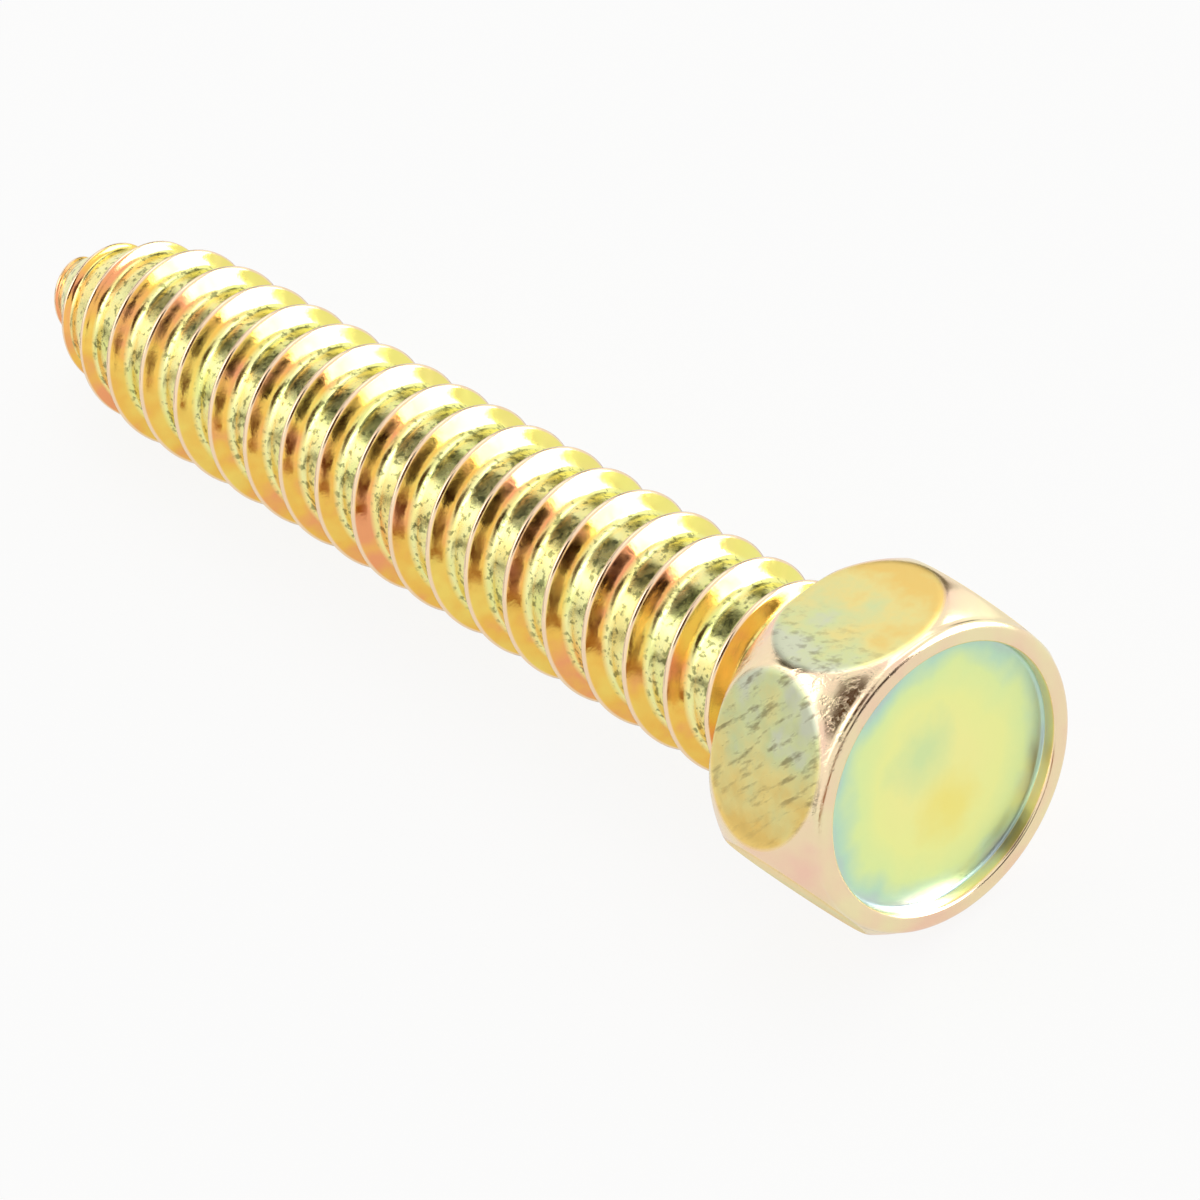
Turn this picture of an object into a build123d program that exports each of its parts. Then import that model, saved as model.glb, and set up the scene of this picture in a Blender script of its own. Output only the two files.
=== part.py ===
# Hex-head sheet metal screw: one cold-headed, thread-rolled piece of steel wire.
# It is modelled upright, bearing face at z = 0 and point down, and then laid on its side as it
# comes to rest: on one flat of the head and on the thread where the point begins.
from build123d import *
import os
from math import atan2, cos, degrees, pi, radians, sin, sqrt, tan

os.makedirs("parts", exist_ok=True)

# ---- Driving dimensions, in millimetres ----
# Thread
thread_diameter = 6.25       # over the crests
root_diameter = 5.1
pitch = 25.4 / 14            # fourteen threads to the inch
flank_angle = 30             # degrees, each flank from square to the axis
length_under_head = 37.93    # bearing face to the tip of the point
point_length = 6.6           # tapered end that the thread runs on to
tip_radius = 0.2             # small round at the very end
tip_ridge_height = 0.2       # what is left of the ridge where it ends near the tip
tip_ridge_gap = 0.6          # from there to the tip
plain_length = 0.62          # from the bearing face to where the ridge has faded out
runout_turns = 0.58          # the ridge fades out over this part of a turn

# Neck
neck_diameter = 5.35         # the wire's own size, between root and crest
neck_length = 0.72
neck_taper_length = 0.33     # from the neck down to the thread's root
neck_fillet = 0.7            # round under the head

# Head
width_across_flats = 9.32
crown_diameter = 10.6        # over the corners, at the fullest part of the head's barrel
head_height = 4.6
bearing_diameter = 9.1       # the flat ring under the head
bearing_bevel = 0.12         # height of the small bevel from that ring to the barrel
barrel_bearing_end = 9.4     # the barrel's diameter where it meets the bevel
barrel_rim_end = 9.26        # and where it meets the round of the rim
rim_round = 0.24             # round from the barrel over on to the top of the rim

# Recess in the top of the head
recess_diameter = 8.07
recess_depth = 0.5
recess_edge_round = 0.12     # where the rim turns down into the recess
recess_corner_round = 0.12   # where the recess wall meets its floor

# The solid is kept light: each round is drawn with a few chords, because a chord turns into a
# cone, which takes far fewer facets than the surface of a turned arc
barrel_chords = 4
point_chords = 4
fillet_chords = 2
sections_per_turn = 40       # the thread's ridge is ruled from one section to the next

# ---- Sizes that follow ----
crest_radius = thread_diameter / 2
root_radius = root_diameter / 2
neck_radius = neck_diameter / 2
recess_radius = recess_diameter / 2
ridge_root = (root_radius - tip_radius) / 20   # how far the ridge's foot is buried in the core
ridge_height = crest_radius - root_radius + ridge_root
point_start = point_length - length_under_head
ridge_start = tip_ridge_gap - length_under_head
straight_start = point_start + pitch / 2       # the ridge is full from half a turn above the point
ridge_end = -plain_length
runout_start = ridge_end - runout_turns * pitch
ridge_length = ridge_end - ridge_start
ridge_count = round(sections_per_turn * ridge_length / pitch)
# The point's side is an arc, tangent to the straight root and to the small round at the tip
point_arc = (((point_length - tip_radius) ** 2 + root_radius**2 - tip_radius**2)
             / (2 * (root_radius - tip_radius)))
tip_centre = tip_radius - length_under_head
point_sweep = degrees(atan2(point_start - tip_centre, point_arc - root_radius))


def core_radius(z):
    """Radius of the thread's root at height z: constant on the shank, an arc on the point."""
    below = max(point_start - z, 0)
    return root_radius - point_arc + sqrt(point_arc**2 - below**2)


def turn(z):
    """Angle about the axis, in radians, that a right-hand thread has reached at height z."""
    return 2 * pi * (z - straight_start) / pitch


def foot(z):
    """Point on the line that the foot of the ridge follows, just inside the core."""
    radius = core_radius(z) - ridge_root
    return (radius * cos(turn(z)), radius * sin(turn(z)), z)


def ridge_height_at(z):
    """Height of the ridge's crest over its foot: it grows over the point and fades at the neck."""
    if z < straight_start:
        grown = (z - ridge_start) / (straight_start - ridge_start)
        return tip_ridge_height + grown * (ridge_height - tip_ridge_height)
    faded = max((z - runout_start) / (ridge_end - runout_start), 0)
    return ridge_height - faded * (ridge_height - neck_radius + root_radius)


def ridge_section(z):
    """The ridge cut square at height z: two sloping flanks that meet in the crest."""
    height = ridge_height_at(z)
    outwards = (cos(turn(z)), sin(turn(z)), 0)
    onwards = (sin(turn(z)), -cos(turn(z)), 0)
    base = height * tan(radians(flank_angle))
    with BuildSketch(Plane(origin=foot(z), x_dir=outwards, z_dir=onwards)) as section:
        with BuildLine():
            Polyline((0, -base), (height, 0), (0, base), close=True)
        make_face()
    return section.sketch


def chords(arc, count):
    """Points on an arc that divide it into equal chords."""
    return [arc @ (i / count) for i in range(count + 1)]


# ---- The screw, upright ----
# Head profile: bearing ring, barrel, rim and the shallow recess in its top
with BuildSketch(Plane.XZ) as head_profile:
    with BuildLine():
        floor = head_height - recess_depth
        barrel_low = (barrel_bearing_end / 2, bearing_bevel)
        barrel_high = (barrel_rim_end / 2, head_height - rim_round)
        fullest = (crown_diameter / 2, (bearing_bevel + head_height - rim_round) / 2)
        barrel = ThreePointArc(barrel_low, fullest, barrel_high, mode=Mode.PRIVATE)
        rim = CenterArc((barrel_rim_end / 2 - rim_round, head_height - rim_round),
                        rim_round, 0, 90, mode=Mode.PRIVATE)
        Polyline((0, floor), (0, 0), (bearing_diameter / 2, 0), *chords(barrel, barrel_chords),
                 *chords(rim, fillet_chords)[1:],
                 (recess_radius + recess_edge_round, head_height),
                 (recess_radius, head_height - recess_edge_round),
                 (recess_radius, floor + recess_corner_round),
                 (recess_radius - recess_corner_round, floor), close=True)
    make_face()

# Shank profile: round under the head, neck, root of the thread and the point
with BuildSketch(Plane.XZ) as shank_profile:
    with BuildLine():
        under_head = CenterArc((neck_radius + neck_fillet, -neck_fillet), neck_fillet, 90, 90,
                               mode=Mode.PRIVATE)
        point = CenterArc((root_radius - point_arc, point_start), point_arc, 0, -point_sweep,
                          mode=Mode.PRIVATE)
        tip = CenterArc((0, tip_centre), tip_radius, -point_sweep, point_sweep - 90,
                        mode=Mode.PRIVATE)
        Polyline((0, head_height / 2), (neck_radius + neck_fillet, head_height / 2),
                 *chords(under_head, fillet_chords), (neck_radius, -neck_length),
                 (root_radius, -neck_length - neck_taper_length), *chords(point, point_chords),
                 *chords(tip, fillet_chords)[1:], close=True)
    make_face()

with BuildPart() as upright:
    # Head: a hexagon cut down to the barrel, so that each flat is a lens between two arcs
    with BuildSketch():
        RegularPolygon(radius=width_across_flats / 2, side_count=6, major_radius=False, rotation=30)
    extrude(amount=head_height)
    revolve(head_profile.sketch, axis=Axis.Z, mode=Mode.INTERSECT)
    # Neck, core and point
    revolve(shank_profile.sketch, axis=Axis.Z)
    # Thread: one ridge, ruled from section to section, from the tip to where it fades at the neck
    loft([ridge_section(ridge_start + ridge_length * i / ridge_count) for i in range(ridge_count + 1)],
         ruled=True)

# ---- At rest ----
# The ridge begins its straight run on the side that faces down, so it touches there. The axis
# slopes down from the head to that point, because the head is wider than the thread.
slope = atan2(width_across_flats / 2 - crest_radius, -straight_start)
resting = Plane(origin=(0, 0, 0), x_dir=(sin(slope), 0, -cos(slope)), z_dir=(cos(slope), 0, sin(slope)))
with BuildPart(resting) as screw:
    add(upright.part)

screw.part.label = "screw"
export_step(screw.part, "parts/screw.step")
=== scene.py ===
# %% [markdown]
# # A hex-head sheet metal screw
#
# The real object is one piece of steel wire. A cold header upsets one end into an indented hexagon
# head, thread rolls press the spaced thread and the sharp point into the shank, and the part is
# zinc plated and dipped in yellow chromate. The CAD part holds its true sizes. This scene gives it
# its finish and the small rounds that rolling and plating leave on every edge.

# %% Load the frame
from math import asin, atan2, cos, pi, radians, sin, sqrt, tan

import bmesh
import bpy
from mathutils import Euler, Matrix, Vector


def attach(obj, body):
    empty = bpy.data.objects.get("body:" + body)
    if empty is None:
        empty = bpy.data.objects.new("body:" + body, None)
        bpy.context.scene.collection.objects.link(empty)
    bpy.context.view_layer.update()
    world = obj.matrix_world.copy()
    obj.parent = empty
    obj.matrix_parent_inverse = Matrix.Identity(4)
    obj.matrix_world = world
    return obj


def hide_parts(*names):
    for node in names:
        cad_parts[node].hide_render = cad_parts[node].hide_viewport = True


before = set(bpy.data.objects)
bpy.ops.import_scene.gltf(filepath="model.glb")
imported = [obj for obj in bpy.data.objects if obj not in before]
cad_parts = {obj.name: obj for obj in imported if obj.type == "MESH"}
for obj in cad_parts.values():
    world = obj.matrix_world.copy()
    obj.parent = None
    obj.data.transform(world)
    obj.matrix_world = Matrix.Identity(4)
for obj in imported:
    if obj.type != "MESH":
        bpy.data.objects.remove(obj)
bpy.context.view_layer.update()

MM = 0.001

# %% [markdown]
# ## Sizes and directions
#
# A screw is easiest to think of standing upright, point down, with its bearing face at height zero.
# That is how it is built here, in millimetres, and one function then lays it on its side, where
# the frame has it: resting on one flat of its head and on its thread.

# %% Sizes of the screw, in millimetres
across_flats = 9.32
head_height = 4.6
recess_radius = 8.07 / 2
recess_floor = head_height - 0.5
length = 37.93               # bearing face to tip
pitch = 25.4 / 14
crest_radius = 6.25 / 2
root_radius = 5.1 / 2
neck_radius = 5.35 / 2
neck_fillet = 0.7            # round under the head
neck_length = 0.72
neck_taper_end = 1.05        # below the bearing face, where the neck has tapered to the root
run_out = (1.67, 0.62)       # below the bearing face, where the ridge begins to fade and is gone
point_length = 6.6
tip_radius = 0.2
tip_gap = 0.6                # from the tip to where the ridge begins
tip_ridge = 0.083            # its height there
flank_slope = 1 / tan(radians(30))   # rise of a flank for each millimetre along the axis
crest_half = 0.05            # half the narrow land along the crest

point_start = point_length - length
full_from = point_start + pitch / 2
print("the thread is full from", round(full_from, 2), "mm below the bearing face")

# %% The way from upright to lying down
slope = atan2(across_flats / 2 - crest_radius, -full_from)
lay_down = Matrix(((sin(slope), 0, cos(slope)), (0, 1, 0), (-cos(slope), 0, sin(slope)))).to_4x4()


def laid_down(x, y, z):
    """Where a point of the upright screw lies in the frame, in metres."""
    return lay_down @ Vector((x, y, z)) * MM


floor_height = laid_down(crest_radius, 0, full_from).z
print("the axis leans", round(slope * 180 / pi, 2), "degrees, the floor is at",
      round(floor_height / MM, 3), "mm")

# %% [markdown]
# ## The camera
#
# The camera looks down along the screw from beyond its head, from the near right, with a long lens
# close to the object. It is rolled, so that the screw lies across the picture from the top left to
# the bottom right.

# %% Camera
camera_data = bpy.data.cameras.new("camera")
camera = bpy.data.objects.new("camera", camera_data)
bpy.context.scene.collection.objects.link(camera)
bpy.context.scene.camera = camera

aim = Vector((-10.63, 0.0, -1.31)) * MM
camera_distance = 174.4 * MM
camera_turn = radians(57.64)         # from straight in front of the screw towards its head end
camera_rise = radians(38.81)
camera_roll = radians(-12.63)
camera_data.lens = 179.8
camera_data.clip_start = 0.01
camera_data.clip_end = 20

camera_turned = Euler((pi / 2 - camera_rise, 0, camera_turn)).to_matrix()
camera_rolled = camera_turned @ Matrix.Rotation(camera_roll, 3, "Z")
camera_place = aim + camera_turned @ Vector((0, 0, camera_distance))
camera.matrix_world = Matrix.Translation(camera_place) @ camera_rolled.to_4x4()
print("the camera is at", [round(v / MM, 1) for v in camera_place], "mm")

# %% [markdown]
# ## Colours and nodes
#
# Colours are written as sRGB hex values and turned to linear light by one function. One more small
# function adds a node, with its settings and the links into it.

# %% Two helpers for node trees


def linear(hex_colour):
    """Linear RGBA from an sRGB hex value."""
    channels = [int(hex_colour[i:i + 2], 16) / 255 for i in (1, 3, 5)]
    return [c / 12.92 if c <= 0.04045 else ((c + 0.055) / 1.055) ** 2.4 for c in channels] + [1.0]


def add(tree, kind, inputs=(), **settings):
    """Adds a node, sets it up, and gives its inputs a value or a link from another output."""
    node = tree.nodes.new(kind)
    for name, value in settings.items():
        setattr(node, name, value)
    for key, value in dict(inputs).items():
        if isinstance(value, bpy.types.NodeSocket):
            tree.links.new(value, node.inputs[key])
        else:
            node.inputs[key].default_value = value
    return node


def calc(tree, operation, *values, clamp=False):
    """A Math node, as its output."""
    node = add(tree, "ShaderNodeMath", enumerate(values), operation=operation, use_clamp=clamp)
    return node.outputs[0]


print("a yellow of #E3B23C is", [round(c, 3) for c in linear("#E3B23C")[:3]], "in linear light")

# %% [markdown]
# ## Light
#
# Bright metal is a mirror, so it shows the room more than its own colour, and a plain white room
# would leave it flat. So it is lit softly, and cards stand round it. White cards draw the bright
# patches and dark ones draw the lines between them, and that contrast is what reads as polished
# metal. The cards here are seen only in reflections: they light nothing.

# %% White room
world = bpy.data.worlds.new("white room")
bpy.context.scene.world = world
world.use_nodes = True
room = world.node_tree
room.nodes.clear()
path = add(room, "ShaderNodeLightPath")
mirrored = calc(room, "MAXIMUM", path.outputs["Is Glossy Ray"], path.outputs["Is Transmission Ray"])
shown = calc(room, "MAXIMUM", path.outputs["Is Camera Ray"], mirrored)
room_level = 0.72            # what the white room gives as light, where its picture is plain white
strength = add(room, "ShaderNodeMapRange", {"Value": shown, "To Min": room_level, "To Max": 1.0})
background = add(room, "ShaderNodeBackground",
                 {"Color": linear("#FFFFFF"), "Strength": strength.outputs[0]})
add(room, "ShaderNodeOutputWorld", {"Surface": background.outputs[0]})
print("the room lights at", room_level)

# %% Softbox


def softbox(name, towards, distance, size, radiance):
    """A square lamp that faces the screw, from the direction `towards`."""
    data = bpy.data.lights.new(name, "AREA")
    data.shape = "SQUARE"
    data.size = size
    data.energy = radiance * pi * size ** 2      # a lamp's power gives this radiance over its face
    lamp = bpy.data.objects.new(name, data)
    bpy.context.scene.collection.objects.link(lamp)
    direction = Vector(towards).normalized()
    lamp.location = aim + direction * distance
    lamp.rotation_euler = direction.to_track_quat("Z", "Y").to_euler()
    return lamp


key = softbox("softbox overhead", (-0.3, 0.35, 0.9), 0.6, 0.34, 1.2)
print("one softbox,", key.data.size, "m wide")

# %% Cards


def card(name, start, end, low, high, colour, strength=1.0, radius=0.8):
    """A curved card, seen from the screw between two compass angles and two rises, in degrees."""
    steps = 24
    mesh = bpy.data.meshes.new(name)
    points = []
    for i in range(steps + 1):
        turn = radians(start + (end - start) * i / steps)
        for rise in (radians(low), radians(high)):
            points.append(aim + radius * Vector((cos(turn) * cos(rise), sin(turn) * cos(rise),
                                                 sin(rise))))
    mesh.from_pydata(points, [], [(2 * i, 2 * i + 1, 2 * i + 3, 2 * i + 2) for i in range(steps)])
    made = bpy.data.objects.new(name, mesh)
    bpy.context.scene.collection.objects.link(made)
    paint = bpy.data.materials.new(name)
    paint.use_nodes = True
    tree = paint.node_tree
    tree.nodes.clear()
    cloth = add(tree, "ShaderNodeEmission", {"Color": linear(colour), "Strength": strength})
    add(tree, "ShaderNodeOutputMaterial", {"Surface": cloth.outputs[0]})
    mesh.materials.append(paint)
    made.visible_camera = False
    made.visible_diffuse = False
    made.visible_shadow = False
    return made


cards = [
    card("white card beyond the head", 29, 84, 0.3, 36, "#FFFFFF", 7.0),
    card("dark card beyond the head", -8, 27, 0.3, 30, "#241004"),
    card("brown card beside the head", -16, -9, 0.3, 18, "#74421C"),
    card("dark brown card beside the head", -25, -17, 0.3, 18, "#5E3216"),
    card("brown card low by the head", -42, -10, -6, 4, "#9A6430", radius=0.045),
    card("pale card at the back", 88, 111, 0.3, 26, "#FFFFFF", 1.15),
    card("olive card at the back", 112, 144, 8, 27, "#6A684A", radius=0.7),
    card("dark card over the point", 157, 206, 34, 60, "#2E2E22", radius=0.7),
    card("grey card above the back", 134, 157, 43, 62, "#5A5A4C", radius=0.7),
    card("low grey card in front", -165, -100, 0.3, 7, "#5A564C"),
    card("pale card in front", -152, -100, 26, 46, "#FFFFFF", 1.9),
    card("white card in front", -165, -100, 46.5, 62, "#FFFFFF", 3.4),
    card("dark card round the camera", -70, -14, 40, 74, "#4A3018", radius=0.75),
]
print(len(cards), "cards stand round the screw")

# %% [markdown]
# ## The floor
#
# A sheet of white paper. Most of what the camera sees of it is its own white and the rest is how it
# is lit, so that it stays near white and still keeps a soft shadow under the screw.

# %% White paper floor
paper = bpy.data.materials.new("white paper")
paper.use_nodes = True
tree = paper.node_tree
tree.nodes.clear()
sheet = add(tree, "ShaderNodeBsdfDiffuse", {"Color": linear("#F4F3F0")})
glow = add(tree, "ShaderNodeEmission", {"Color": linear("#FFFFFF"), "Strength": 1.0})
path = add(tree, "ShaderNodeLightPath")
mirrored = calc(tree, "MAXIMUM", path.outputs["Is Glossy Ray"], path.outputs["Is Transmission Ray"])
white_to_camera = 0.88       # share of the sheet's own white; the rest is how it is lit
white_in_mirrors = 0.65
part = calc(tree, "MAXIMUM", calc(tree, "MULTIPLY", path.outputs["Is Camera Ray"], white_to_camera),
            calc(tree, "MULTIPLY", mirrored, white_in_mirrors))
mixed = add(tree, "ShaderNodeMixShader", {0: part, 1: sheet.outputs[0], 2: glow.outputs[0]})
add(tree, "ShaderNodeOutputMaterial", {"Surface": mixed.outputs[0]})

floor_size = 3.0
floor_mesh = bpy.data.meshes.new("floor")
floor_mesh.from_pydata([(x * floor_size, y * floor_size, floor_height)
                        for x, y in ((-1, -1), (1, -1), (1, 1), (-1, 1))], [], [(0, 1, 2, 3)])
floor_mesh.materials.append(paper)
floor = bpy.data.objects.new("floor", floor_mesh)
bpy.context.scene.collection.objects.link(floor)
print("the floor is", 2 * floor_size, "m wide")

# %% [markdown]
# ## Finishes
#
# Yellow chromate on zinc is a gold film a fraction of a micron thick. Light is reflected from the
# film and from the zinc under it, so the gold drifts to green, pink and pale blue where the film is
# thicker or thinner. The metal under it keeps what made it: lines of the rolling dies on the
# thread, smears of the trimming die on the flats, the grain of the punch in the recess.

# %% Where a finish is measured from


def upright_coordinates(tree):
    """Object coordinates, turned back to the upright screw and scaled to millimetres."""
    place = add(tree, "ShaderNodeTexCoord")
    return add(tree, "ShaderNodeMapping", {
        "Vector": place.outputs["Object"],
        "Rotation": lay_down.inverted().to_euler(),
        "Scale": (1 / MM,) * 3,
    }, vector_type="POINT").outputs[0]


def noise(tree, where, scale, detail=3.0, roughness=0.5, stretch=(1, 1, 1)):
    """Noise with `scale` spots to the millimetre, stretched along the screw's own axes."""
    spread = add(tree, "ShaderNodeMapping", {"Vector": where, "Scale": stretch})
    return add(tree, "ShaderNodeTexNoise", {
        "Vector": spread.outputs[0], "Scale": scale, "Detail": detail, "Roughness": roughness,
    }).outputs["Fac"]


def ramp(tree, value, stops):
    """Colours along a value, each stop a position and a hex colour."""
    node = add(tree, "ShaderNodeValToRGB", {"Fac": value})
    elements = node.color_ramp.elements
    while len(elements) < len(stops):
        elements.new(0.5)
    for element, (position, colour) in zip(elements, stops):
        element.position = position
        element.color = linear(colour)
    return node.outputs["Color"]


def blend_colours(tree, factor, one, two, how="MIX"):
    """One colour over another."""
    node = add(tree, "ShaderNodeMix", {0: factor, 6: one, 7: two}, data_type="RGBA", blend_type=how)
    return node.outputs[2]


def bump(tree, height, millimetres, over=None):
    """A bump of that many millimetres for a height from 0 to 1."""
    links = {"Height": height, "Distance": millimetres * MM, "Strength": 1.0}
    if over is not None:
        links["Normal"] = over
    return add(tree, "ShaderNodeBump", links).outputs[0]


def plated_steel(name, colour_of, roughness_of, bump_of):
    """A metal whose colour, roughness and bump come from three functions of its tree."""
    finish = bpy.data.materials.new(name)
    finish.use_nodes = True
    tree = finish.node_tree
    tree.nodes.clear()
    where = upright_coordinates(tree)
    shader = add(tree, "ShaderNodeBsdfPrincipled", {
        "Base Color": colour_of(tree, where),
        "Roughness": roughness_of(tree, where),
        "Normal": bump_of(tree, where),
        "Metallic": 1.0,
    })
    add(tree, "ShaderNodeOutputMaterial", {"Surface": shader.outputs[0]})
    return finish


print("helpers for the finishes are ready")

# %% Where a place lies on the screw


def between(tree, value, low, high):
    """0 below the lower value and 1 above the higher one, with a slope between."""
    return add(tree, "ShaderNodeMapRange", {
        "Value": value, "From Min": low, "From Max": high}).outputs[0]


def along(tree, where, direction):
    """How far a place lies along a direction, in millimetres."""
    return add(tree, "ShaderNodeVectorMath", {0: where, 1: direction},
               operation="DOT_PRODUCT").outputs["Value"]


def out_from_axis(tree, where):
    """Distance from the screw's axis, in millimetres."""
    flat = add(tree, "ShaderNodeVectorMath", {0: where, 1: (1, 1, 0)}, operation="MULTIPLY")
    return add(tree, "ShaderNodeVectorMath", {0: flat.outputs[0]},
               operation="LENGTH").outputs["Value"]


def on_a_flat(tree, where):
    """1 on the six flats and 0 on the barrel, which lies inside the planes of the flats."""
    reach = [calc(tree, "ABSOLUTE", along(tree, where, (cos(a), sin(a), 0)))
             for a in (0, pi / 3, 2 * pi / 3)]
    outermost = calc(tree, "MAXIMUM", calc(tree, "MAXIMUM", reach[0], reach[1]), reach[2])
    return between(tree, outermost, across_flats / 2 - 0.05, across_flats / 2 - 0.012)


print("a flat lies", across_flats / 2, "mm from the axis")

# %% Rolled thread
# Cold rolling polishes a thread, so it is the shiniest part. The film is pale yellow on the root,
# with dark olive speckles, partly its own and partly painted shade between the ridges, and
# thicker and more orange on the flanks. A cream line along the crest is a painted highlight.
# The film drifts to lime round one side, where the dip drained last, and to salmon towards the
# point.
point_arc = (((point_length - tip_radius) ** 2 + root_radius ** 2 - tip_radius ** 2)
             / (2 * (root_radius - tip_radius)))


def ridge_share(tree, where):
    """0 on the root and 1 on the crest, also on the point, where both draw in."""
    z = along(tree, where, (0, 0, 1))
    below = calc(tree, "MAXIMUM", calc(tree, "SUBTRACT", point_length - length, z), 0.0)
    curved = calc(tree, "SQRT", calc(tree, "SUBTRACT", point_arc ** 2,
                                     calc(tree, "MULTIPLY", below, below)))
    height = add(tree, "ShaderNodeMapRange", {
        "Value": z, "From Min": tip_gap - length, "From Max": full_from,
        "To Min": tip_ridge, "To Max": crest_radius - root_radius}).outputs[0]
    above_root = calc(tree, "SUBTRACT", out_from_axis(tree, where),
                      calc(tree, "SUBTRACT", curved, point_arc - root_radius))
    return calc(tree, "DIVIDE", above_root, height)


def thread_colour(tree, where):
    patches = noise(tree, where, 0.5, detail=3.0)
    root = ramp(tree, patches, [(0.35, "#ECEE96"), (0.50, "#F8F4AC"), (0.62, "#FAEC98")])
    down = along(tree, where, (0, 0, -1))
    towards_point = calc(tree, "MULTIPLY", between(tree, down, 31, 36), 0.1)
    flank = ramp(tree, calc(tree, "ADD", patches, towards_point),
                 [(0.35, "#F6D86C"), (0.50, "#F6C45C"), (0.64, "#F4A672")])
    share = ridge_share(tree, where)
    in_root = between(tree, share, 0.25, 0.05)
    body = blend_colours(tree, in_root, flank, root)
    side = calc(tree, "ADD", along(tree, where, (0, 1 / crest_radius, 0)),
                calc(tree, "SUBTRACT", patches, 0.5))
    drained = blend_colours(tree, calc(tree, "MULTIPLY", between(tree, side, 0.05, 0.6), 0.75),
                            body, linear("#F8F888"))
    # Dark olive speckles in the root: partly the film's own, partly painted shade between the
    # ridges.
    root_specks_and_shade = calc(tree, "MULTIPLY", in_root,
                  between(tree, noise(tree, where, 5.0, detail=3.0), 0.54, 0.63))
    specked_and_shaded = blend_colours(tree, calc(tree, "MULTIPLY", root_specks_and_shade, 0.7), drained, linear("#646C3C"))
    # A cream line along the crest: a painted highlight.
    return blend_colours(tree, between(tree, share, 0.86, 0.93), specked_and_shaded, linear("#F9DCB8"))


def thread_roughness(tree, where):
    rolled = add(tree, "ShaderNodeMapRange", {
        "Value": noise(tree, where, 2.0), "From Min": 0.35, "From Max": 0.7,
        "To Min": 0.10, "To Max": 0.22}).outputs[0]
    in_root = between(tree, ridge_share(tree, where), 0.25, 0.05)
    return calc(tree, "MULTIPLY_ADD", in_root, 0.08, rolled)


def thread_bump(tree, where):
    return bump(tree, noise(tree, where, 3.0, detail=5.0, roughness=0.6), 0.006)


thread_finish = plated_steel("yellow chromated zinc on rolled steel", thread_colour,
                             thread_roughness, thread_bump)
print(thread_finish.name)

# %% Forged head
# Between the flats the head keeps the smooth curved skin of the heading die, under a thin pink and
# tan film. The flats are sheared by a die, which drags the steel in short slanting strokes.


def strokes(tree, where):
    """1 in the deeper marks of the trimming die."""
    slanted = add(tree, "ShaderNodeMapping", {"Vector": where, "Rotation": (0.5, 0.6, 0.4)})
    marks = noise(tree, slanted.outputs[0], 4.2, detail=4.0, roughness=0.62, stretch=(1, 1, 0.26))
    return between(tree, marks, 0.52, 0.66)


def marked_side(tree, where):
    """1 on the flat that took the worst of the strokes, and less and less round its edges."""
    turned = between(tree, along(tree, where, (-0.5, -0.87, 0)), 2.4, 4.6)
    higher = add(tree, "ShaderNodeMapRange", {
        "Value": along(tree, where, (-1, 0, 0)), "From Min": 0.4, "From Max": 2.4,
        "To Min": 0.25, "To Max": 1.0})
    return calc(tree, "MULTIPLY", turned, higher.outputs[0])


def head_colour(tree, where):
    patches = noise(tree, where, 0.42, detail=3.0)
    barrel = ramp(tree, patches, [(0.35, "#F4E6B8"), (0.52, "#F6DCB8"), (0.68, "#F6CDB6")])
    drift = calc(tree, "ADD", along(tree, where, (0.09, 0.05, 0)),
                 calc(tree, "MULTIPLY_ADD", noise(tree, where, 0.7, detail=4.0), 0.5, 0.32))
    flats = ramp(tree, drift, [
        (0.02, "#DEE2C6"), (0.08, "#E2E8AE"), (0.17, "#F6E69A"), (0.27, "#F8D47C"),
        (0.5, "#F4D884"), (0.65, "#E4D98A"), (0.85, "#EFC878")])
    marked = blend_colours(tree, calc(tree, "MULTIPLY", strokes(tree, where),
                                      calc(tree, "MULTIPLY", marked_side(tree, where), 0.6)),
                           flats, linear("#6E5A3E"))
    return blend_colours(tree, on_a_flat(tree, where), barrel, marked)


def head_roughness(tree, where):
    grain = noise(tree, where, 2.5)
    barrel = add(tree, "ShaderNodeMapRange", {"Value": grain, "To Min": 0.12, "To Max": 0.26})
    flats = add(tree, "ShaderNodeMapRange", {"Value": grain, "To Min": 0.26, "To Max": 0.44})
    return add(tree, "ShaderNodeMix", {0: on_a_flat(tree, where), 2: barrel.outputs[0],
                                       3: flats.outputs[0]}, data_type="FLOAT").outputs[0]


def head_bump(tree, where):
    skin_bump = bump(tree, noise(tree, where, 2.0, detail=4.0), 0.006)
    sunk = calc(tree, "SUBTRACT", 1.0, calc(tree, "MULTIPLY", strokes(tree, where),
                                            marked_side(tree, where)))
    return bump(tree, sunk, 0.008, over=skin_bump)


head_finish = plated_steel("yellow chromated zinc on the forged head", head_colour, head_roughness,
                           head_bump)
print(head_finish.name)

# %% Punched recess
# The punch leaves a fine satin floor. The film pools against the wall in a blue-green ring, and two
# soft blots near the middle are where the last drops dried.


def blot(tree, where, x, y, radius, edge):
    """1 in a soft round blot about a place on the recess floor, 0 outside it."""
    away = add(tree, "ShaderNodeVectorMath", {0: where, 1: (x, y, recess_floor)},
               operation="DISTANCE")
    ragged = calc(tree, "MULTIPLY_ADD", noise(tree, where, 0.9, detail=4.0), 1.6, -0.8)
    reach = calc(tree, "ADD", away.outputs["Value"], ragged)
    return calc(tree, "SUBTRACT", 1.0, between(tree, reach, radius, radius + edge))


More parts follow.
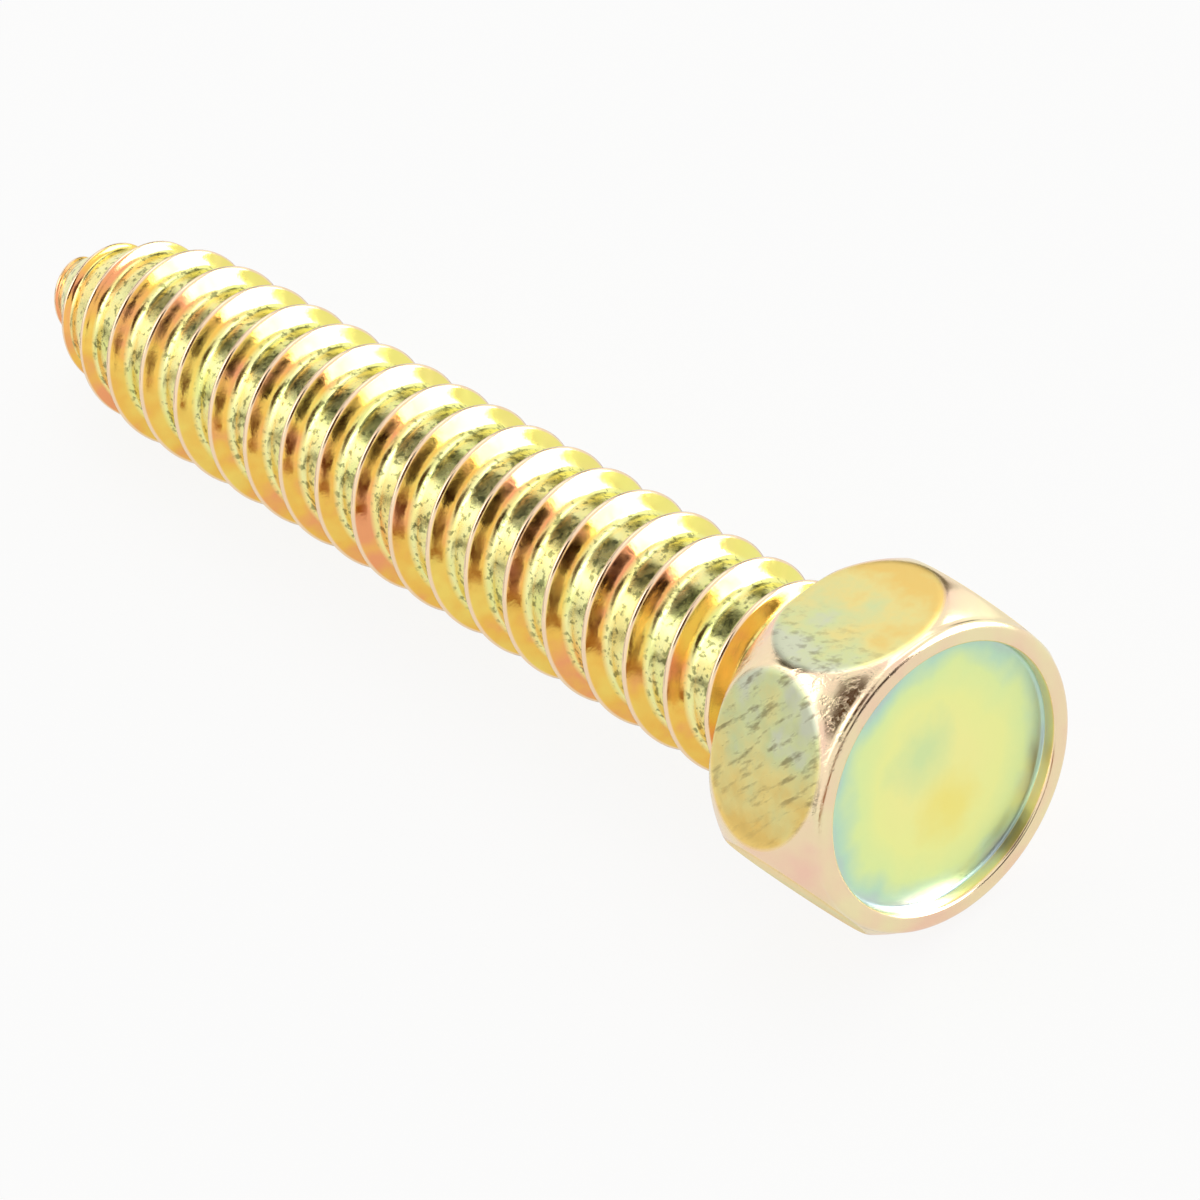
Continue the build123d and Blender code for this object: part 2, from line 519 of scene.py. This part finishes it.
def recess_colour(tree, where):
    wander = calc(tree, "SUBTRACT", noise(tree, where, 0.5, detail=3.0), 0.5)
    lean = along(tree, where, (-0.01, -0.01, 0))
    value = calc(tree, "ADD", calc(tree, "DIVIDE", out_from_axis(tree, where), recess_radius),
                 calc(tree, "MULTIPLY_ADD", wander, 0.4, lean))
    rings = ramp(tree, value, [(0.30, "#F6F4A2"), (0.58, "#F2F6A2"), (0.77, "#E4F4AA"),
                               (0.90, "#C2E4C6"), (1.0, "#BACCD0")])
    cool = blend_colours(tree, calc(tree, "MULTIPLY", blot(tree, where, -0.8, -0.3, 0.2, 1.3), 0.5),
                         rings, linear("#B8E4B4"))
    return blend_colours(tree, calc(tree, "MULTIPLY", blot(tree, where, 1.3, 0.2, 0.2, 1.2), 0.7),
                         cool, linear("#F8E87C"))


def recess_roughness(tree, where):
    return add(tree, "ShaderNodeMapRange", {"Value": noise(tree, where, 4.0), "To Min": 0.26,
                                            "To Max": 0.4}).outputs[0]


def recess_bump(tree, where):
    return bump(tree, noise(tree, where, 5.0, detail=5.0), 0.004)


recess_finish = plated_steel("yellow chromated zinc on the punched recess", recess_colour,
                             recess_roughness, recess_bump)
print(recess_finish.name)

# %% [markdown]
# ## The thread
#
# A thread follows a rule, so Geometry Nodes make it. A flat grid is wound round the axis: one side
# of the grid goes once round, and the other climbs, so that each row of the grid follows the helix.
# After one turn a row meets the row one pitch higher, and the seam is welded. The rows are placed
# closely over the ridge and widely over the root. The same rule makes the ridge fade out at the
# neck and shrink on the point, and it closes the point.

# %% The size of the grid
columns = 120                # round the axis
ridge_rows = 0.31            # share of a turn's rows, on either side, that go to the ridge
row_crowding = 1.3           # above 1 the ridge's rows crowd towards its crest
ridge_margin = 1.12          # they reach a little past the ridge's foot
least_height = 0.1           # the ridge's rows never draw in closer than for this height
sunk_at_tip = -0.6           # how deep the crest line lies under the skin at the very tip
closed_below = 0.0001        # this close to the tip the radius is zero, which closes the point
seam_weld = 0.002
rows_per_turn = 20
thread_top = -neck_fillet    # the plain neck, where the head's own mesh takes over
first_turn = -6              # whole turns, counted from where the thread is full
last_turn = 18
rows = (last_turn - first_turn) * rows_per_turn + 1
print("the thread's grid has", columns, "by", rows, "cells")

# %% The rule of the thread, as nodes
winding = bpy.data.node_groups.new("wind a grid into a thread", "GeometryNodeTree")
group = winding.interface
sizes = {
    "Pitch": pitch, "Crest Radius": crest_radius, "Root Radius": root_radius,
    "Neck Radius": neck_radius, "Neck Length": neck_length, "Neck Taper End": neck_taper_end,
    "Length": length, "Point Length": point_length, "Tip Radius": tip_radius,
    "Flank Slope": flank_slope, "Crest Half": crest_half, "Full From": full_from,
    "Tip Gap": tip_gap, "Tip Ridge": tip_ridge, "Run-out Start": run_out[0],
    "Run-out End": run_out[1], "Top": thread_top, "Crest Round": 0.05, "Root Round": 0.36,
}
for name, value in sizes.items():
    socket = group.new_socket(name, in_out="INPUT", socket_type="NodeSocketFloat")
    socket.default_value = value
for name in ("Columns", "Rows", "Rows Per Turn", "First Turn"):
    group.new_socket(name, in_out="INPUT", socket_type="NodeSocketInt")
group.new_socket("Finish", in_out="INPUT", socket_type="NodeSocketMaterial")
group.new_socket("Geometry", in_out="OUTPUT", socket_type="NodeSocketGeometry")

given = add(winding, "NodeGroupInput").outputs


def m(operation, *values):
    """A Math node in the thread's tree."""
    return calc(winding, operation, *values)


def climb(value, from_low, from_high, to_low, to_high):
    """A value carried from one range to another, and held at its ends."""
    return add(winding, "ShaderNodeMapRange", {
        "Value": value, "From Min": from_low, "From Max": from_high,
        "To Min": to_low, "To Max": to_high}).outputs[0]


grid = add(winding, "GeometryNodeMeshGrid", {
    "Size X": 1.0, "Size Y": 1.0,
    "Vertices X": m("ADD", given["Columns"], 1), "Vertices Y": given["Rows"]})
position = add(winding, "GeometryNodeInputPosition").outputs[0]
place = add(winding, "ShaderNodeSeparateXYZ", {0: position})
around = m("ADD", place.outputs["X"], 0.5)
row = m("ROUND", m("MULTIPLY", m("ADD", place.outputs["Y"], 0.5), m("SUBTRACT", given["Rows"], 1)))
turns = m("ADD", m("DIVIDE", row, given["Rows Per Turn"]), given["First Turn"])
ridge = m("ROUND", turns)
side = m("SUBTRACT", turns, ridge)

# The crest line at this column, and how high the ridge stands there
crest_z = m("ADD", given["Full From"], m("MULTIPLY", given["Pitch"], m("ADD", ridge, around)))
full_height = m("SUBTRACT", given["Crest Radius"], given["Root Radius"])
tip_z = m("MULTIPLY", given["Length"], -1)
neck_end = m("MULTIPLY", given["Neck Length"], -1)
ridge_start = m("ADD", tip_z, given["Tip Gap"])
on_point = climb(crest_z, ridge_start, given["Full From"], given["Tip Ridge"], full_height)
at_tip = climb(crest_z, m("SUBTRACT", tip_z, given["Tip Gap"]), ridge_start,
               sunk_at_tip, 0)
fading = climb(crest_z, m("MULTIPLY", given["Run-out Start"], -1),
               m("MULTIPLY", given["Run-out End"], -1), 0, m("MULTIPLY", full_height, -1))
height = m("ADD", m("ADD", on_point, at_tip), fading)

# Rows over the ridge lie close together near its crest; the rest spread over the root
reach = m("ADD", given["Crest Half"],
          m("DIVIDE", m("MAXIMUM", height, least_height), given["Flank Slope"]))
past_foot = m("MULTIPLY", reach, ridge_margin)
away = m("ABSOLUTE", side)
near = m("MULTIPLY", m("POWER", climb(away, 0, ridge_rows, 0, 1), row_crowding), past_foot)
half_pitch = m("DIVIDE", given["Pitch"], 2)
far = climb(away, ridge_rows, 0.5, 0, m("SUBTRACT", half_pitch, past_foot))
offset = m("MULTIPLY", m("SIGN", side), m("ADD", near, far))
z = m("MINIMUM", m("MAXIMUM", m("ADD", crest_z, offset), tip_z), given["Top"])


def core(at):
    """Radius of the root at a height: neck, taper, straight shank, point and tip."""
    rise = m("SUBTRACT", given["Point Length"], given["Tip Radius"])
    drop = m("SUBTRACT", given["Root Radius"], given["Tip Radius"])
    arc = m("DIVIDE", m("ADD", m("MULTIPLY", rise, rise),
                        m("SUBTRACT", m("MULTIPLY", given["Root Radius"], given["Root Radius"]),
                          m("MULTIPLY", given["Tip Radius"], given["Tip Radius"]))),
            m("MULTIPLY", drop, 2))
    point_top = m("SUBTRACT", given["Point Length"], given["Length"])
    below = m("MAXIMUM", m("SUBTRACT", point_top, at), 0)
    curved = m("ADD", m("SUBTRACT", given["Root Radius"], arc),
               m("SQRT", m("SUBTRACT", m("MULTIPLY", arc, arc), m("MULTIPLY", below, below))))
    above_tip = m("MAXIMUM", m("ADD", at, given["Length"]), 0)
    ball = m("SQRT", m("MAXIMUM", m("MULTIPLY", above_tip, m(
        "SUBTRACT", m("MULTIPLY", given["Tip Radius"], 2), above_tip)), 0))
    in_ball = m("LESS_THAN", above_tip, given["Tip Radius"])
    point = m("ADD", m("MULTIPLY", ball, in_ball),
              m("MULTIPLY", curved, m("SUBTRACT", 1, in_ball)))
    taper_end = m("MULTIPLY", given["Neck Taper End"], -1)
    neck = climb(at, taper_end, neck_end, given["Root Radius"], given["Neck Radius"])
    in_neck = m("GREATER_THAN", at, taper_end)
    return m("ADD", m("MULTIPLY", neck, in_neck), m("MULTIPLY", point, m("SUBTRACT", 1, in_neck)))


crest = m("ADD", core(crest_z), height)
flank = m("SUBTRACT", m("ADD", crest, m("MULTIPLY", given["Crest Half"], given["Flank Slope"])),
          m("MULTIPLY", m("ABSOLUTE", m("SUBTRACT", z, crest_z)), given["Flank Slope"]))
rounded_crest = m("SMOOTH_MIN", flank, crest, given["Crest Round"])
core_here = core(z)
blended = m("SMOOTH_MAX", rounded_crest, core_here, given["Root Round"])
above_end = m("GREATER_THAN", m("SUBTRACT", z, tip_z), closed_below)
radius = m("MULTIPLY", blended, above_end)

angle = m("MULTIPLY", around, 2 * pi)
wound = add(winding, "ShaderNodeCombineXYZ", {
    "X": m("MULTIPLY", radius, m("COSINE", angle)),
    "Y": m("MULTIPLY", radius, m("SINE", angle)), "Z": z})
moved = add(winding, "GeometryNodeSetPosition", {
    "Geometry": grid.outputs["Mesh"], "Position": wound.outputs[0]})
welded = add(winding, "GeometryNodeMergeByDistance", {
    "Geometry": moved.outputs[0], "Distance": seam_weld})
real = add(winding, "GeometryNodeRealizeInstances", {"Geometry": welded.outputs[0]})
finished = add(winding, "GeometryNodeSetMaterial", {
    "Geometry": real.outputs[0], "Material": given["Finish"]})
add(winding, "NodeGroupOutput", {"Geometry": finished.outputs[0]})
print("the thread's tree has", len(winding.nodes), "nodes")

# %% Wind the thread
carrier = bpy.data.objects.new("thread", bpy.data.meshes.new("thread"))
bpy.context.scene.collection.objects.link(carrier)
modifier = carrier.modifiers.new("wind", "NODES")
modifier.node_group = winding
settings = {**sizes, "Columns": columns, "Rows": rows, "Rows Per Turn": rows_per_turn,
            "First Turn": first_turn, "Finish": thread_finish}
for item in winding.interface.items_tree:
    if item.in_out == "INPUT":
        modifier[item.identifier] = settings[item.name]
evaluated = carrier.evaluated_get(bpy.context.evaluated_depsgraph_get())
thread_mesh = bpy.data.meshes.new_from_object(evaluated)
bpy.data.objects.remove(carrier)
print("the thread has", len(thread_mesh.vertices), "points and", len(thread_mesh.polygons), "faces")

# %% [markdown]
# ## The head
#
# A header upsets the head as a round barrel and a die then shears six flats on it, so each flat is
# a lens between two curves. The mesh does the same: it turns a profile round the axis, and pulls
# in whatever stands out of the hexagon. The edge where the two meet is a little round, as plating
# leaves it.

# %% Profile of the head, from the neck to the middle of the recess


def arc_points(centre, radius, start, end, steps):
    """Points on an arc in the plane of radius and height, angles in degrees."""
    angles = [radians(start + (end - start) * i / steps) for i in range(steps + 1)]
    return [(centre[0] + radius * cos(a), centre[1] + radius * sin(a)) for a in angles]


def line_points(start, end, steps):
    """Points between two ends, without the ends themselves."""
    return [(start[0] + (end[0] - start[0]) * i / steps, start[1] + (end[1] - start[1]) * i / steps)
            for i in range(1, steps)]


bearing_radius = 9.1 / 2
bearing_bevel = 0.12
barrel_low = (4.7, bearing_bevel)
fullest = (5.3, 2.24)
rim_round = 0.24
barrel_high = (9.26 / 2, head_height - rim_round)
edge_round = 0.12


def barrel_points(steps):
    """The barrel's side: an arc through its two ends and its fullest place."""
    (x1, y1), (x2, y2), (x3, y3) = barrel_low, fullest, barrel_high
    d = 2 * (x1 * (y2 - y3) + x2 * (y3 - y1) + x3 * (y1 - y2))
    s1, s2, s3 = x1 ** 2 + y1 ** 2, x2 ** 2 + y2 ** 2, x3 ** 2 + y3 ** 2
    cx = (s1 * (y2 - y3) + s2 * (y3 - y1) + s3 * (y1 - y2)) / d
    cy = (s1 * (x3 - x2) + s2 * (x1 - x3) + s3 * (x2 - x1)) / d
    radius = sqrt((x1 - cx) ** 2 + (y1 - cy) ** 2)
    low, high = asin((y1 - cy) / radius), asin((y3 - cy) / radius)
    return arc_points((cx, cy), radius, low * 180 / pi, high * 180 / pi, steps)


profile = (
    arc_points((neck_radius + neck_fillet, thread_top), neck_fillet, 180, 90, 6)[1:]
    + line_points((neck_radius + neck_fillet, 0), (bearing_radius, 0), 4)
    + [(bearing_radius, 0)]
    + barrel_points(44)
    + arc_points((barrel_high[0] - rim_round, barrel_high[1]), rim_round, 0, 90, 8)[1:]
    + [(recess_radius + edge_round + 0.06, head_height)]
    + arc_points((recess_radius + edge_round, head_height - edge_round), edge_round, 90, 180, 5)
    + arc_points((recess_radius - edge_round, recess_floor + edge_round), edge_round, 0, -90, 5)
    + line_points((recess_radius - edge_round, recess_floor), (0, recess_floor), 14)
)
print("the head's profile has", len(profile), "points")

# %% Turn the profile and shear the flats
head_columns = 360
edge_softness = 0.10         # millimetres, round of the edge between a flat and the barrel


def hexagon(angle):
    """Distance from the axis to the hexagon in that direction. A flat faces down, along +X."""
    sector = pi / 3
    turned = (angle + sector / 2) % sector - sector / 2
    return across_flats / 2 / cos(turned)


def soft_min(a, b, softness):
    """The smaller of two lengths, with a round where they are close."""
    h = max(softness - abs(a - b), 0) / softness
    return min(a, b) - h * h * softness / 4


def sheared(radius, angle):
    """The turned radius, pulled in to the hexagon."""
    return soft_min(radius, hexagon(angle), edge_softness)


head_rings = [[(sheared(r, a) * cos(a), sheared(r, a) * sin(a), z)
               for a in (2 * pi * i / head_columns for i in range(head_columns))]
              for r, z in profile]
print("the head has", len(head_rings), "rings of", head_columns, "points")

# %% Join head and thread into one closed skin
screw_mesh = bpy.data.meshes.new("screw")
skin = bmesh.new()
skin.from_mesh(thread_mesh)
open_edges = [e for e in skin.edges if e.is_boundary]
neck_ring = sorted({v for e in open_edges for v in e.verts},
                   key=lambda v: atan2(v.co.y, v.co.x) % (2 * pi))
print("the thread ends in an open ring of", len(neck_ring), "points, all at height",
      {round(v.co.z, 3) for v in neck_ring})

THREAD, HEAD, RECESS = range(3)
for face in skin.faces:
    face.material_index = THREAD


def finish_at(radius, height):
    """Which finish a ring of the head has."""
    if height > recess_floor - 0.01 and radius < recess_radius - 0.02:
        return RECESS
    return HEAD if height > -0.02 else THREAD


def joined(ring_below, ring_above, kind):
    """Faces between two rings; the upper one may have a whole number of points for each below."""
    ratio = len(ring_above) // len(ring_below)
    for i, low in enumerate(ring_below):
        low_next = ring_below[(i + 1) % len(ring_below)]
        above = [ring_above[(i * ratio + k) % len(ring_above)] for k in range(ratio + 1)]
        if ratio == 1:
            skin.faces.new((low, low_next, above[1], above[0])).material_index = kind
            continue
        middle = ratio // 2 + 1
        for k in range(ratio):
            corner = low if k < middle else low_next
            skin.faces.new((corner, above[k + 1], above[k])).material_index = kind
        skin.faces.new((low, low_next, above[middle])).material_index = kind


below = neck_ring
for (r, z), ring in zip(profile, head_rings):
    above = [skin.verts.new(co) for co in ring]
    joined(below, above, finish_at(r, z))
    below = above
centre = skin.verts.new((0, 0, recess_floor))
for i, v in enumerate(below):
    skin.faces.new((v, below[(i + 1) % head_columns], centre)).material_index = RECESS

bmesh.ops.recalc_face_normals(skin, faces=skin.faces)
for face in skin.faces:
    face.smooth = True
holes = sum(not e.is_manifold for e in skin.edges)
skin.transform(Matrix.Scale(MM, 4) @ lay_down)
skin.to_mesh(screw_mesh)
volume = skin.calc_volume() / MM ** 3
skin.free()
print("the screw has", len(screw_mesh.polygons), "faces,", holes, "edges that aren't closed, and",
      round(volume, 1), "cubic millimetres")

# %% The screw takes the place of the CAD node
for finish in (thread_finish, head_finish, recess_finish):
    screw_mesh.materials.append(finish)
screw = bpy.data.objects.new("plated_screw", screw_mesh)
bpy.context.scene.collection.objects.link(screw)
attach(screw, "root")
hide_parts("screw")
print(screw.name, "stands for the CAD node")

# %% [markdown]
# ## The view transform
#
# The picture is shown through the Standard view transform.

# %% The view transform
bpy.context.scene.view_settings.view_transform = "Standard"
